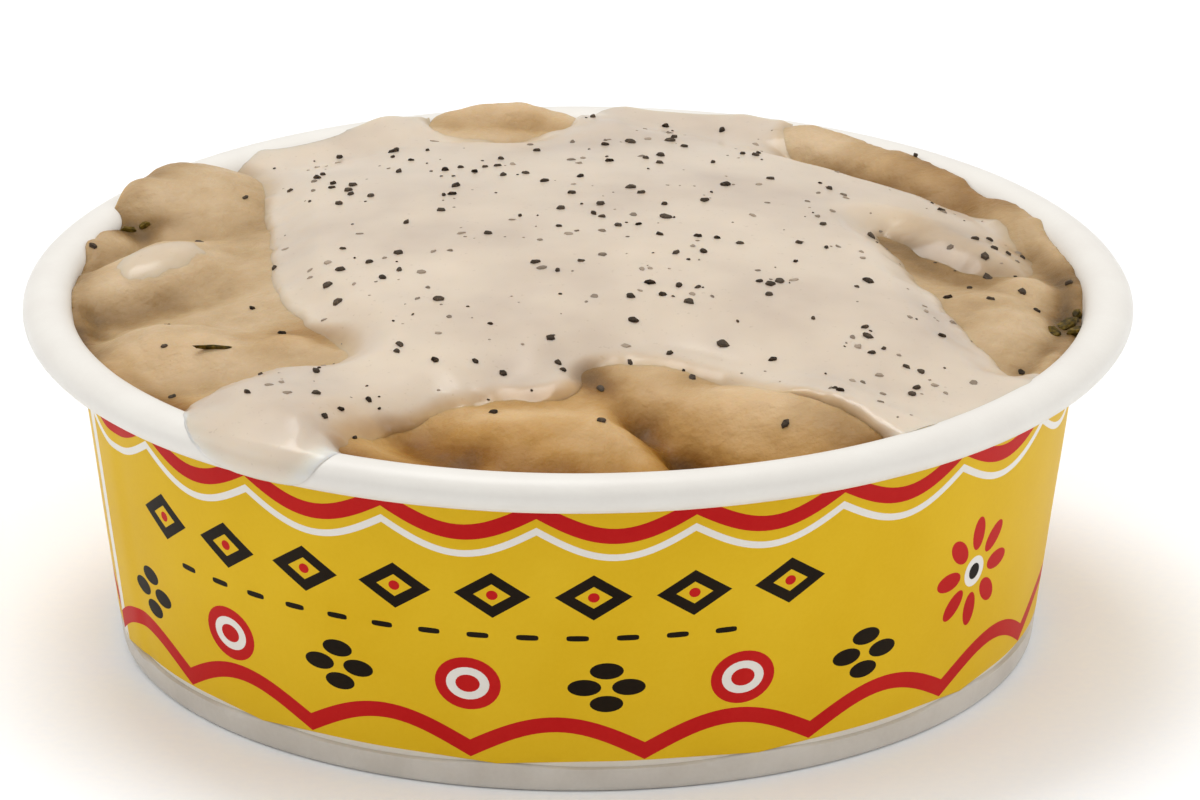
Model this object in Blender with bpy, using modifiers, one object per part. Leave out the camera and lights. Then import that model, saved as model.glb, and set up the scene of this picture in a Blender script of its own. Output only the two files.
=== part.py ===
"""Mashed potato side: a rolled-rim paper tub heaped with mash under a blanket of peppered cream gravy.

Blender 4.5, metres, +Z up. The origin is the centre of the tub's foot on the table, and -Y is the
side that faces the eater. Each named object is one piece of the real thing.
"""

import math

import bmesh
import bpy
from mathutils import Matrix, Vector
from mathutils.geometry import delaunay_2d_cdt

MM = 0.001

# Paper tub
RIM_RADIUS = 58.0 * MM
TUB_HEIGHT = 37.6 * MM
ROLL_HALF_WIDTH = 2.6 * MM
ROLL_HALF_HEIGHT = 2.0 * MM
BOARD = 0.45 * MM
FOOT_RADIUS = 47.8 * MM
NECK_HEIGHT = 31.0 * MM
NECK_RADIUS = 52.1 * MM
FLOOR_UNDERSIDE = 3.4 * MM
ROLL_TURN = math.radians(325)
ROLL_STEPS = 10
TURN_STEPS = 60
CLEARANCE = 0.3 * MM

# Food
PLAN_SPACING = 3.2 * MM
MOUTH_STEPS = 72
EDGE_LEVEL = -1.3 * MM
DOME_RISE = 6.0 * MM
CREASE_SOFTNESS = 0.7 * MM
GRAVY_DEPTH = 2.7 * MM
GRAVY_LIP = 0.9 * MM
GRAVY_LIP_WIDTH = 5.0 * MM
TONGUE_DEPTH = 1.3 * MM
TONGUE_LIP = 0.5 * MM
TONGUE_LIP_WIDTH = 2.5 * MM
PUDDLE_DEPTH = 1.3 * MM

# Worked out from the sizes above
ROLL_RADIUS = RIM_RADIUS - ROLL_HALF_WIDTH
ROLL_LEVEL = TUB_HEIGHT - ROLL_HALF_HEIGHT
WALL_SLOPE = (NECK_RADIUS - FOOT_RADIUS) / NECK_HEIGHT
FLOOR_LEVEL = FLOOR_UNDERSIDE + BOARD
MOUTH_RADIUS = RIM_RADIUS - 2 * ROLL_HALF_WIDTH - CLEARANCE

# Spooned folds of mash: centre x and y, long and short half-axes, turn in degrees, height of the
# crown above the rim's roll, all in millimetres but the turn.
FOLDS = {
    "left_back": (-40, 29, 14, 12, -40, 4.6),
    "left_middle": (-43, 7, 13, 8, 40, 3.4),
    "left_front": (-40, -17, 13, 9, -20, 3.2),
    "left_wedge": (-29, -19, 10, 4, -30, 2.8),
    "back_middle": (-7, 50.5, 9, 3, 0, 4.9),
    "back_swell": (5, 45, 25, 8, 0, 0.9),
    "back_right": (33.5, 38.5, 19, 5, -41, 3.0),
    "right": (44, -11, 11, 7, 60, 2.6),
    "right_low": (46, 1, 10, 6, 80, 2.0),
    "front_left": (-5, -39, 15, 8, 3, 2.3),
    "front_right": (20, -36, 17, 7, -24, 3.4),
    "front_under": (15, -46, 10, 4, -12, 0.9),
    "drip_bank": (-30, -39, 17, 12, 38, 2.4),
}
# Hollows pressed between the folds: x and y of one end and of the other, radius and depth, in
# millimetres.
HOLLOWS = {
    "left_crease": (-53, -5, -38, -1, 4, 1.4),
    "left_rim": (-52, -10, -51, -15, 4, 2.0),
    "left_back_rim": (-50, 21, -48, 24, 4, 2.2),
    "right_rim": (52, -4, 50, -9, 4, 2.0),
    "right_crease": (36, 6, 50, -1, 4, 1.0),
    "front_crease": (4, -36, 12, -49, 3.5, 2.8),
    "front_fork": (8, -40, 20, -46, 3, 1.5),
    "front_pocket": (-16, -41, -12, -44, 4, 1.6),
    "front_rim": (-8, -51, 20, -48, 4, 1.2),
}
# The gravy's edge on the mash, anticlockwise from the front left. Where it passes the mouth of the
# tub it is cut off there, and the gravy meets the wall.
GRAVY_EDGE = (
    (-24, -54), (-22, -47), (-18.5, -43), (-14, -38), (-6, -36.5), (-0.8, -35), (1.2, -29),
    (6.5, -27.8), (13, -30.5), (19, -34), (25.5, -37), (31, -42), (34, -50), (48, -38), (55, -27),
    (48.5, -23), (44, -19.5), (40, -12), (37, -1), (34.5, 7.5), (32, 14.5), (36, 9.5), (41, 6.5),
    (48, 6.5), (50, 13), (47.5, 21.5), (42, 28), (33.5, 31), (26, 35.5), (21.5, 42), (20, 54),
    (8, 60), (0.5, 56), (-0.5, 49), (-5, 46), (-10.5, 45.5), (-15.5, 48), (-18, 57), (-38, 46),
    (-34.5, 37), (-33, 20), (-32.3, 6), (-31.5, -5), (-28.5, -14), (-24.2, -22.5), (-31, -24.8),
    (-35.2, -27.6), (-38, -31.5), (-42, -38), (-34, -52),
)
# Where the gravy runs over the rim: angle from the front towards the left in degrees, and distance
# run past the mouth in millimetres.
TONGUE_EDGE = (
    (51, -3), (49, 0.5), (45, 3), (41, 6), (37.5, 7.6), (33.5, 8), (30.5, 7.4), (28.5, 5), (27, 2),
    (25.5, -3),
)
TONGUE_FROM, TONGUE_TO = 24, 52
TONGUE_COLUMNS = 11
TONGUE_SPACING = 1.1 * MM
TONGUE_RUN = 8.0 * MM
TONGUE_END = math.radians(-35)
PUDDLE_CENTRE = (-43.3 * MM, 5.0 * MM)
PUDDLE_HALF_AXES = (7.2 * MM, 3.8 * MM)
PUDDLE_TURN = math.radians(57)
PUDDLE_STEPS = 14
SHARP_ANGLE = math.radians(50)


# ---------------------------------------------------------------- shared helpers


def clear_scene():
    for obj in list(bpy.data.objects):
        bpy.data.objects.remove(obj, do_unlink=True)


def new_collection(name):
    collection = bpy.data.collections.new(name)
    bpy.context.scene.collection.children.link(collection)
    return collection


def new_material(name, colour, roughness, subsurface=0.0):
    material = bpy.data.materials.new(name)
    material.use_nodes = True
    shader = material.node_tree.nodes["Principled BSDF"]
    shader.inputs["Base Color"].default_value = (*colour, 1.0)
    shader.inputs["Roughness"].default_value = roughness
    shader.inputs["Metallic"].default_value = 0.0
    shader.inputs["Subsurface Weight"].default_value = subsurface
    material.diffuse_color = (*colour, 1.0)
    return material


def new_object(name, mesh, collection, material):
    obj = bpy.data.objects.new(name, mesh)
    collection.objects.link(obj)
    mesh.materials.append(material)
    return obj


def smooth_step(share):
    share = min(max(share, 0.0), 1.0)
    return share * share * (3 - 2 * share)


def smooth_curve(corners, steps):
    """Points of a closed Catmull-Rom curve through the corners."""
    points = []
    count = len(corners)
    for i in range(count):
        before, start, end, after = (Vector(corners[(i + k) % count]) for k in (-1, 0, 1, 2))
        for k in range(steps):
            t = k / steps
            points.append(
                0.5
                * (
                    2 * start
                    + (end - before) * t
                    + (2 * before - 5 * start + 4 * end - after) * t**2
                    + (3 * start - before - 3 * end + after) * t**3
                )
            )
    return points


def distance_to_edge(point, loop):
    """Distance from a point to the nearest stretch of a closed loop."""
    nearest = math.inf
    for start, end in zip(loop, loop[1:] + loop[:1]):
        along = end - start
        share = min(max((point - start).dot(along) / max(along.length_squared, 1e-18), 0.0), 1.0)
        nearest = min(nearest, (point - start - along * share).length)
    return nearest


# ---------------------------------------------------------------- paper tub


def wall_middle(height):
    """Radius of the middle of the board at a height on the wall's straight cone."""
    return FOOT_RADIUS + WALL_SLOPE * height - BOARD / 2


def clear_of_wall(point):
    """The point, drawn in where it would come closer to the wall's inner face than the clearance."""
    share = (point.z - NECK_HEIGHT) / (ROLL_LEVEL - NECK_HEIGHT)
    neck = NECK_RADIUS - BOARD
    inside = neck + (MOUTH_RADIUS + CLEARANCE - neck) * min(max(share, 0.0), 1.0)
    flat = Vector((point.x, point.y))
    if flat.length > inside - CLEARANCE:
        flat *= (inside - CLEARANCE) / flat.length
    return Vector((flat.x, flat.y, point.z))


def turned_board(name, profile, collection, material):
    """A sheet of board of the tub's thickness, turned from an open profile of (radius, height)."""
    mesh = bpy.data.meshes.new(name)
    points = [(radius, 0, height) for radius, height in profile]
    mesh.from_pydata(points, [(i, i + 1) for i in range(len(points) - 1)], [])
    obj = new_object(name, mesh, collection, material)
    screw = obj.modifiers.new("Turn", "SCREW")
    screw.steps = TURN_STEPS
    screw.render_steps = TURN_STEPS
    screw.use_merge_vertices = True
    screw.merge_threshold = 0.00001
    screw.use_smooth_shade = True
    board = obj.modifiers.new("Board", "SOLIDIFY")
    board.thickness = BOARD
    board.offset = 0
    board.use_even_offset = True
    return obj


def build_wall(collection, material):
    """The side wall: folded in round the base at its foot, and curled outwards into the rim."""
    fold = 2 * (BOARD + CLEARANCE)
    half = BOARD / 2
    cuff_top = FLOOR_UNDERSIDE - CLEARANCE
    profile = [
        (wall_middle(cuff_top) - fold, cuff_top),
        (wall_middle(half) - fold, half),
        (wall_middle(half), half),
        (NECK_RADIUS - half, NECK_HEIGHT),
    ]
    for k in range(ROLL_STEPS + 1):
        angle = math.pi - ROLL_TURN * k / ROLL_STEPS
        profile.append(
            (
                ROLL_RADIUS + (ROLL_HALF_WIDTH - half) * math.cos(angle),
                ROLL_LEVEL + (ROLL_HALF_HEIGHT - half) * math.sin(angle),
            )
        )
    return turned_board("tub_wall", profile, collection, material)


def build_base(collection, material):
    """The base: a disc whose edge is turned down into the fold at the foot of the wall."""
    inset = BOARD + CLEARANCE
    middle = FLOOR_UNDERSIDE + BOARD / 2
    skirt_end = BOARD + CLEARANCE
    profile = [
        (0, middle),
        (wall_middle(middle) - inset, middle),
        (wall_middle(skirt_end) - inset, skirt_end),
    ]
    return turned_board("tub_base", profile, collection, material)


# ---------------------------------------------------------------- mash and gravy


def fold_height(x, y, fold):
    """Height above the rim's roll of one spooned fold: the cap of an ellipsoid that falls away steeply."""
    centre_x, centre_y, long_half, short_half, turn, crown = fold
    turn = math.radians(turn)
    across, up = x / MM - centre_x, y / MM - centre_y
    u = (across * math.cos(turn) + up * math.sin(turn)) / long_half
    v = (up * math.cos(turn) - across * math.sin(turn)) / short_half
    return (crown - 4.5 * (u * u + v * v)) * MM


def mash_level(x, y):
    """Height of the mash's surface: the folds merge with the heap in soft creases."""
    share = min(math.hypot(x, y) / MOUTH_RADIUS, 1.0)
    heap = EDGE_LEVEL + DOME_RISE * (1 - share**2)
    heights = [heap] + [fold_height(x, y, fold) for fold in FOLDS.values()]
    highest = max(heights)
    total = sum(math.exp((height - highest) / CREASE_SOFTNESS) for height in heights)
    level = highest + CREASE_SOFTNESS * math.log(total)
    for start_x, start_y, end_x, end_y, radius, depth in HOLLOWS.values():
        ends = [Vector((start_x, start_y)) * MM, Vector((end_x, end_y)) * MM]
        away = distance_to_edge(Vector((x, y)), ends) / (radius * MM)
        level -= depth * MM * math.exp(-away * away)
    return ROLL_LEVEL + level


def plan_point(degrees, run):
    """Place in the plan of a point past the mouth: its angle from the front, and how far it ran."""
    angle = math.radians(degrees)
    radius = MOUTH_RADIUS + run * MM
    return Vector((-radius * math.sin(angle), -radius * math.cos(angle)))


def puddle_edge():
    """The outline of the small pool: an oval."""
    loop = []
    for k in range(PUDDLE_STEPS):
        angle = 2 * math.pi * k / PUDDLE_STEPS
        oval = Vector((PUDDLE_HALF_AXES[0] * math.cos(angle), PUDDLE_HALF_AXES[1] * math.sin(angle)))
        loop.append(Vector(PUDDLE_CENTRE) + Matrix.Rotation(PUDDLE_TURN, 2) @ oval)
    return loop


def food_plan():
    """One triangulation, seen from above, of the mouth and of the tongue past it. Mash and gravy both
    use it, so that their faces lie parallel. Each triangle has the names of the loops it lies in."""
    loops = {
        "mouth": [plan_point(360 * k / MOUTH_STEPS, 0) for k in range(MOUTH_STEPS)][::-1],
        "gravy": smooth_curve([Vector(corner) * MM for corner in GRAVY_EDGE], 2),
        "tongue": smooth_curve([plan_point(*corner) for corner in TONGUE_EDGE], 3),
        "puddle": puddle_edge(),
    }
    points, outlines = [], []
    for loop in loops.values():
        outlines.append(list(range(len(points), len(points) + len(loop))))
        points += loop
    rows = math.ceil(RIM_RADIUS / PLAN_SPACING)
    for row in range(-rows, rows + 1):
        for column in range(-rows, rows + 1):
            point = Vector((column + 0.5 * (row % 2), row * math.sqrt(0.75))) * PLAN_SPACING
            clear = min(distance_to_edge(point, loop) for loop in loops.values())
            if point.length < MOUTH_RADIUS and clear > 0.45 * PLAN_SPACING:
                points.append(point)
    for row in range(1, round(TONGUE_RUN / TONGUE_SPACING)):
        for step in range(TONGUE_COLUMNS + 1):
            share = (step + 0.5 * (row % 2)) / TONGUE_COLUMNS
            degrees = TONGUE_FROM + (TONGUE_TO - TONGUE_FROM) * share
            point = plan_point(degrees, row * TONGUE_SPACING / MM)
            if distance_to_edge(point, loops["tongue"]) > 0.45 * TONGUE_SPACING:
                points.append(point)
    found = delaunay_2d_cdt(points, [], outlines, 0, 1e-6)
    names = list(loops)
    inside = [{names[i] for i in owners} for owners in found[5]]
    return {"points": found[0], "triangles": list(zip(found[2], inside)), "loops": loops}


def build_mash(plan, collection, material):
    """The heap of mash, down to the base and out to the wall."""
    build = bmesh.new()
    faces = [face for face, inside in plan["triangles"] if "mouth" in inside]
    top = {}
    for index in sorted({index for face in faces for index in face}):
        x, y = plan["points"][index]
        top[index] = build.verts.new(clear_of_wall(Vector((x, y, mash_level(x, y)))))
    for face in faces:
        build.faces.new([top[index] for index in face])
    edge = [e for e in build.edges if e.is_boundary]
    floor = FLOOR_LEVEL + CLEARANCE
    foot = wall_middle(floor) - BOARD / 2 - CLEARANCE
    for radius, height in ((NECK_RADIUS - BOARD - CLEARANCE, NECK_HEIGHT), (foot, floor)):
        made = bmesh.ops.extrude_edge_only(build, edges=edge)["geom"]
        for vertex in (g for g in made if isinstance(g, bmesh.types.BMVert)):
            flat = vertex.co.to_2d().normalized() * radius
            vertex.co = (*flat, height)
        edge = [g for g in made if isinstance(g, bmesh.types.BMEdge)]
    bmesh.ops.contextual_create(build, geom=edge)
    return finish_mesh("mash", build, collection, material)


def finish_mesh(name, build, collection, material):
    bmesh.ops.recalc_face_normals(build, faces=build.faces)
    mesh = bpy.data.meshes.new(name)
    build.to_mesh(mesh)
    build.free()
    mesh.shade_smooth()
    mesh.set_sharp_from_angle(angle=SHARP_ANGLE)
    return new_object(name, mesh, collection, material)


def over_the_rim(flat, gap):
    """Where a point past the mouth lies on the roll of the rim, that far off its surface."""
    share = min((flat.length - MOUTH_RADIUS) / TONGUE_RUN, 1.0)
    outwards = flat.normalized()
    start = mash_level(*(outwards * MOUTH_RADIUS)) - ROLL_LEVEL + CLEARANCE
    rise = start / (ROLL_HALF_HEIGHT + CLEARANCE)
    first = math.pi - math.asin(min(max(rise, -0.99), 0.99))
    angle = first + (TONGUE_END - first) * share
    radius = ROLL_RADIUS + (ROLL_HALF_WIDTH + gap) * math.cos(angle)
    height = ROLL_LEVEL + (ROLL_HALF_HEIGHT + gap) * math.sin(angle)
    return Vector((outwards.x * radius, outwards.y * radius, height))


def build_layer(name, plan, faces, sheet_at, collection, material):
    """A layer of sauce between two sheets of the plan's faces. sheet_at(index, top) places a point of
    the underside or of the top."""
    build = bmesh.new()
    used = sorted({index for face in faces for index in face})
    low = {index: build.verts.new(sheet_at(index, False)) for index in used}
    high = {index: build.verts.new(sheet_at(index, True)) for index in used}
    sides = set()
    for face in faces:
        build.faces.new([high[index] for index in face])
        build.faces.new([low[index] for index in reversed(face)])
        sides ^= {frozenset(side) for side in zip(face, face[1:] + face[:1])}
    for face in faces:
        for start, end in zip(face, face[1:] + face[:1]):
            if frozenset((start, end)) in sides:
                build.faces.new([low[start], low[end], high[end], high[start]])
    return finish_mesh(name, build, collection, material)


def build_gravy(plan, collection, material):
    """The blanket of gravy, with the tongue that runs over the rim at the front left."""
    points, loops = plan["points"], plan["loops"]
    faces, on_rim = [], set()
    for face, inside in plan["triangles"]:
        if {"mouth", "gravy"} <= inside or "tongue" in inside:
            faces.append(face)
        if "tongue" in inside:
            on_rim |= {index for index in face if points[index].length > MOUTH_RADIUS - CLEARANCE / 10}
    end = [point for point in loops["tongue"] if point.length > MOUTH_RADIUS]

    def sheet_at(index, top):
        flat = points[index]
        if index in on_rim:
            swell = smooth_step(min((flat - point).length for point in end) / TONGUE_LIP_WIDTH)
            depth = TONGUE_LIP + (TONGUE_DEPTH - TONGUE_LIP) * swell
            return over_the_rim(flat, CLEARANCE + depth * top)
        swell = smooth_step(distance_to_edge(flat, loops["gravy"]) / GRAVY_LIP_WIDTH)
        depth = GRAVY_LIP + (GRAVY_DEPTH - GRAVY_LIP) * swell
        level = mash_level(*flat) + CLEARANCE
        under = clear_of_wall(Vector((*flat, level)))
        return under + Vector((0, 0, depth * top))

    return build_layer("gravy", plan, faces, sheet_at, collection, material)


def build_puddle(plan, collection, material):
    """The small pool of gravy that lies by itself on the mash at the left."""
    faces = [face for face, inside in plan["triangles"] if "puddle" in inside]

    def sheet_at(index, top):
        flat = plan["points"][index]
        oval = Matrix.Rotation(-PUDDLE_TURN, 2) @ (flat - Vector(PUDDLE_CENTRE))
        share = math.hypot(oval.x / PUDDLE_HALF_AXES[0], oval.y / PUDDLE_HALF_AXES[1])
        depth = PUDDLE_DEPTH * (1 - 0.5 * min(share, 1.0) ** 2)
        return Vector((*flat, mash_level(*flat) + CLEARANCE + depth * top))

    return build_layer("gravy_puddle", plan, faces, sheet_at, collection, material)


def main():
    clear_scene()
    collection = new_collection("mashed_potato_side")
    board = new_material("coated_board", (0.86, 0.85, 0.82), 0.45)
    print_ = new_material("printed_board", (0.70, 0.46, 0.03), 0.4)
    potato = new_material("mashed_potato", (0.60, 0.43, 0.24), 0.6, 0.3)
    sauce = new_material("cream_gravy", (0.72, 0.61, 0.48), 0.3, 0.4)
    build_wall(collection, print_)
    build_base(collection, board)
    plan = food_plan()
    build_mash(plan, collection, potato)
    build_gravy(plan, collection, sauce)
    build_puddle(plan, collection, sauce)


main()
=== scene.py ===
import math
import random

import bmesh
import bpy
import numpy as np
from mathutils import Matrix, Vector, noise
from mathutils.geometry import delaunay_2d_cdt
from mathutils.kdtree import KDTree


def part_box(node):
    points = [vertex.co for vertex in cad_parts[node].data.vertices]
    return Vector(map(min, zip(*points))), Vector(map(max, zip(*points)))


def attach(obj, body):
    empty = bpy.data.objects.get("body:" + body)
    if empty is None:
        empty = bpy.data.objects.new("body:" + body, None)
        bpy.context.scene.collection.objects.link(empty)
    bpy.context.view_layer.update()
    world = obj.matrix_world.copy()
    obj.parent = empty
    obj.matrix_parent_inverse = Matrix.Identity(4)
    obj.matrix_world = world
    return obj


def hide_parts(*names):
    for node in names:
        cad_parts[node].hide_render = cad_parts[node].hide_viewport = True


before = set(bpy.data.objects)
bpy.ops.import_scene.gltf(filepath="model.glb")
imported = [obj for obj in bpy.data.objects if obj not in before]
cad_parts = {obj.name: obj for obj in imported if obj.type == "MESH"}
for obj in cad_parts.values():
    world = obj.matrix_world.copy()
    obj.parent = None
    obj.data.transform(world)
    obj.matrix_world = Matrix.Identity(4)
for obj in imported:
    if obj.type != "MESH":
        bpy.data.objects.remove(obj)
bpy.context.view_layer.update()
mm = 0.001
print("frame loaded:", sorted(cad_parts))


def toLinear(hexColour):
    channels = [int(hexColour[k : k + 2], 16) / 255 for k in (1, 3, 5)]
    return [c / 12.92 if c <= 0.04045 else ((c + 0.055) / 1.055) ** 2.4 for c in channels] + [1.0]


# Adds a node. A setting goes to the node's own property of that name, or else to its socket. "stops"
# are a colour ramp's, and a colour can be a hex value. A link is socket: (node, output).
def addNode(tree, kind, settings={}, links={}):
    node = tree.nodes.new(kind)
    for name, value in settings.items():
        if name == "stops":
            ramp = node.color_ramp.elements
            for k, (position, colour) in enumerate(value):
                stop = ramp[k] if k < 2 else ramp.new(position)
                stop.position = position
                stop.color = toLinear(colour) if isinstance(colour, str) else colour
        elif isinstance(name, str) and hasattr(node, name):
            setattr(node, name, value)
        else:
            node.inputs[name].default_value = toLinear(value) if isinstance(value, str) else value
    for name, (source, output) in links.items():
        tree.links.new(source.outputs[output], node.inputs[name])
    return node


# A material with its tree, its Principled shader and its grains: noise fixed to the object, each given
# as the size of its forms in millimetres, its detail and its roughness.
def newMaterial(name, settings, grainSizes):
    material = bpy.data.materials.new(name)
    material.use_nodes = True
    tree = material.node_tree
    shader = tree.nodes["Principled BSDF"]
    for socket, value in settings.items():
        shader.inputs[socket].default_value = value
    place = addNode(tree, "ShaderNodeTexCoord")
    grains = {}
    for grain, (size, detail, roughness) in grainSizes.items():
        grains[grain] = addNode(
            tree, "ShaderNodeTexNoise", {"Scale": 1 / (size * mm), "Detail": detail, "Roughness": roughness},
            {"Vector": (place, "Object")},
        )
    return material, tree, shader, grains


# Gives the shader its colour and its relief. The relief has a strength, and a depth in millimetres.
def finishSurface(tree, shader, colour, height, relief):
    bump = addNode(
        tree, "ShaderNodeBump", {"Strength": relief[0], "Distance": relief[1] * mm}, {"Height": height}
    )
    tree.links.new(colour[0].outputs[colour[1]], shader.inputs["Base Color"])
    tree.links.new(bump.outputs["Normal"], shader.inputs["Normal"])


def smoothStep(share):
    share = np.clip(share, 0, 1)
    return share * share * (3 - 2 * share)


# Soft noise between about -1 and 1 at each point, with forms as large as the size.
def softNoise(points, size, seed):
    shift = Vector((seed * 17.3, seed * -9.1, seed * 5.7))
    return np.array([noise.noise(Vector(p) / size + shift) for p in np.asarray(points).tolist()])


# Layers of that noise, each given as its amount, its size and its number.
def noiseLayers(points, layers):
    return sum(amount * softNoise(points, size, seed) for amount, size, seed in layers)


# A closed Catmull-Rom curve through the corners, with points about a spacing apart.
def smoothCurve(corners, spacing):
    corners = np.array(corners, float)
    points = []
    for i in range(len(corners)):
        before, start, end, after = corners[[(i + k) % len(corners) for k in (-1, 0, 1, 2)]]
        steps = max(1, round(np.linalg.norm(end - start) / spacing))
        for k in range(steps):
            t = k / steps
            points.append(
                0.5 * (2 * start + (end - before) * t + (2 * before - 5 * start + 4 * end - after) * t**2
                + (3 * start - before - 3 * end + after) * t**3)
            )
    return np.array(points)


# A rounded loop: an ellipse, or squarer where the power is higher.
def oval(x, z, halfX, halfZ, steps, power=2.0):
    turn = 2 * np.pi * np.arange(steps) / steps
    c, s = np.cos(turn), np.sin(turn)
    across = halfX * np.sign(c) * np.abs(c) ** (2 / power)
    up = halfZ * np.sign(s) * np.abs(s) ** (2 / power)
    return np.stack([x + across, z + up], axis=1)


# A straight-sided loop, with each side cut into so many steps.
def sidedLoop(corners, steps):
    corners = np.array(corners, float)
    sides = zip(corners, np.roll(corners, -1, axis=0))
    return np.concatenate([np.linspace(start, end, steps + 1)[:-1] for start, end in sides])


# The loop turned anticlockwise about the origin.
def turnedLoop(loop, turn):
    c, s = math.cos(turn), math.sin(turn)
    return np.stack([loop[:, 0] * c - loop[:, 1] * s, loop[:, 0] * s + loop[:, 1] * c], axis=1)


# The direction to the outside of an anticlockwise loop, at each of its points.
def outward(loop):
    ahead = np.roll(loop, -1, axis=0) - np.roll(loop, 1, axis=0)
    ahead /= np.linalg.norm(ahead, axis=1)[:, None]
    return np.stack([ahead[:, 1], -ahead[:, 0]], axis=1)


# Whether a place is in a loop: an odd number of its sides are crossed on the way out.
def insideLoop(loop, x, y):
    following = np.roll(loop, -1, axis=0)
    crosses = (loop[:, 1] > y) != (following[:, 1] > y)
    rise = np.where(crosses, following[:, 1] - loop[:, 1], 1)
    at = loop[:, 0] + (y - loop[:, 1]) * (following[:, 0] - loop[:, 0]) / rise
    return bool((crosses & (at > x)).sum() % 2)


# Distance from each point to the nearest of the segments, in chunks to spare memory.
def distanceTo(points, starts, ends):
    nearest = np.full(len(points), np.inf)
    along = ends - starts
    length = np.maximum((along**2).sum(1), 1e-12)
    for k in range(0, len(points), 4000):
        away = points[k : k + 4000, None, :] - starts[None]
        share = np.clip((away * along).sum(2) / length, 0, 1)
        gap = np.linalg.norm(away - share[..., None] * along, axis=2)
        nearest[k : k + 4000] = gap.min(1)
    return nearest


# Triangulates a plan: the loops are kept as edges, and a hexagonal grid fills the rest. Gives the
# points, the triangles, and for each triangle the set of loops that it lies in.
def triangulatePlan(loops, spacing, grid, extra=()):
    points, outlines = [], []
    for loop in loops.values():
        outlines.append(list(range(len(points), len(points) + len(loop))))
        points += [Vector(p) for p in np.asarray(loop).tolist()]
    tree = KDTree(len(points))
    for k, p in enumerate(points):
        tree.insert((p.x, p.y, 0), k)
    tree.balance()
    for x, y in list(grid) + list(extra):
        if tree.find((x, y, 0))[2] > 0.45 * spacing:
            points.append(Vector((x, y)))
    found = delaunay_2d_cdt(points, [], outlines, 0, 1e-6)
    names = list(loops)
    inside = [{names[i] for i in owners} for owners in found[5]]
    return np.array([tuple(p) for p in found[0]]), list(zip(found[2], inside))


# Points in staggered rows over a rectangle.
def hexGrid(lowX, highX, lowY, highY, spacing):
    rowStep = spacing * math.sqrt(0.75)
    for row in range(math.ceil((highY - lowY) / rowStep)):
        for column in range(math.ceil((highX - lowX) / spacing)):
            yield lowX + (column + 0.5 * (row % 2)) * spacing, lowY + row * rowStep


# The quads between two rings of as many points, each ring given by its first point.
def ringFaces(first, second, count):
    return [(first + k, first + (k + 1) % count, second + (k + 1) % count, second + k) for k in range(count)]


# Makes a piece from points in millimetres, with sharp edges above an angle. faceSlots gives each face
# its material's number, and marks are numbers that the materials read at each point.
def addPiece(name, points, faces, materials, sharp, replaced=(), faceSlots=None, marks={}):
    mesh = bpy.data.meshes.new(name)
    mesh.from_pydata((np.asarray(points) * mm).tolist(), [], [list(f) for f in faces])
    for material in materials:
        mesh.materials.append(material)
    if faceSlots is not None:
        mesh.polygons.foreach_set("material_index", faceSlots)
    for mark, values in marks.items():
        attribute = mesh.attributes.new(mark, "FLOAT", "POINT")
        attribute.data.foreach_set("value", np.asarray(values, np.float32))
    build = bmesh.new()
    build.from_mesh(mesh)
    bmesh.ops.remove_doubles(build, verts=build.verts, dist=1e-7)
    bmesh.ops.dissolve_degenerate(build, edges=build.edges, dist=1e-8)
    loose = [v for v in build.verts if not v.link_faces]
    bmesh.ops.delete(build, geom=loose, context="VERTS")
    bmesh.ops.recalc_face_normals(build, faces=build.faces)
    openEdges = sum(not e.is_manifold for e in build.edges)
    build.to_mesh(mesh)
    build.free()
    mesh.shade_smooth()
    mesh.set_sharp_from_angle(angle=math.radians(sharp))
    piece = bpy.data.objects.new(name, mesh)
    bpy.context.scene.collection.objects.link(piece)
    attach(piece, "root")
    if replaced:
        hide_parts(*replaced)
    print("piece", name, len(mesh.polygons), "faces,", openEdges, "open edges")
    return piece


view = {
    "aim": (2.35, 0, 24.8),
    "elevation": 20.7,
    "distance": 1500,
    "lens": 430,
    "sensor": 36,
    "clipEnd": 100,  # metres
}
studio = {
    "floorHalf": 3.0,  # metres
    "sky": ((0.0, 0.50), (0.35, 0.72), (1.0, 0.98)),  # light by height, from the horizon to straight up
    "lamps": {  # place and width in metres, and watts
        "top": ((-0.12, 0.26, 0.85), 0.36, 2.5),
        "left": ((-0.75, -0.05, 0.45), 0.45, 0.6),
        "right": ((0.75, -0.10, 0.30), 0.40, 0.8),
    },
    "lampAim": (0, 0, 0.03),
}


def placeCamera():
    camera = bpy.data.objects.new("camera", bpy.data.cameras.new("camera"))
    bpy.context.scene.collection.objects.link(camera)
    elevation = math.radians(view["elevation"])
    away = Vector((0, -math.cos(elevation), math.sin(elevation))) * view["distance"]
    camera.location = (Vector(view["aim"]) + away) * mm
    camera.rotation_euler = (math.pi / 2 - elevation, 0, 0)
    camera.data.lens = view["lens"]
    camera.data.sensor_width = view["sensor"]
    camera.data.clip_end = view["clipEnd"]
    bpy.context.scene.camera = camera


# Matte paper sweep: white, with no gloss, so it gives a soft shadow and nothing else.
def paperSweepMaterial():
    material, tree, shader, grains = newMaterial(
        "matte white paper sweep", {"Roughness": 0.9, "Specular IOR Level": 0.1}, {"tooth": (1.11, 3, 0.5)}
    )
    shade = addNode(
        tree, "ShaderNodeValToRGB", {"stops": [(0.3, "#FAFCFF"), (0.7, "#FDFEFF")]},
        {"Fac": (grains["tooth"], "Fac")},
    )
    tree.links.new(shade.outputs["Color"], shader.inputs["Base Color"])
    return material


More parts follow.
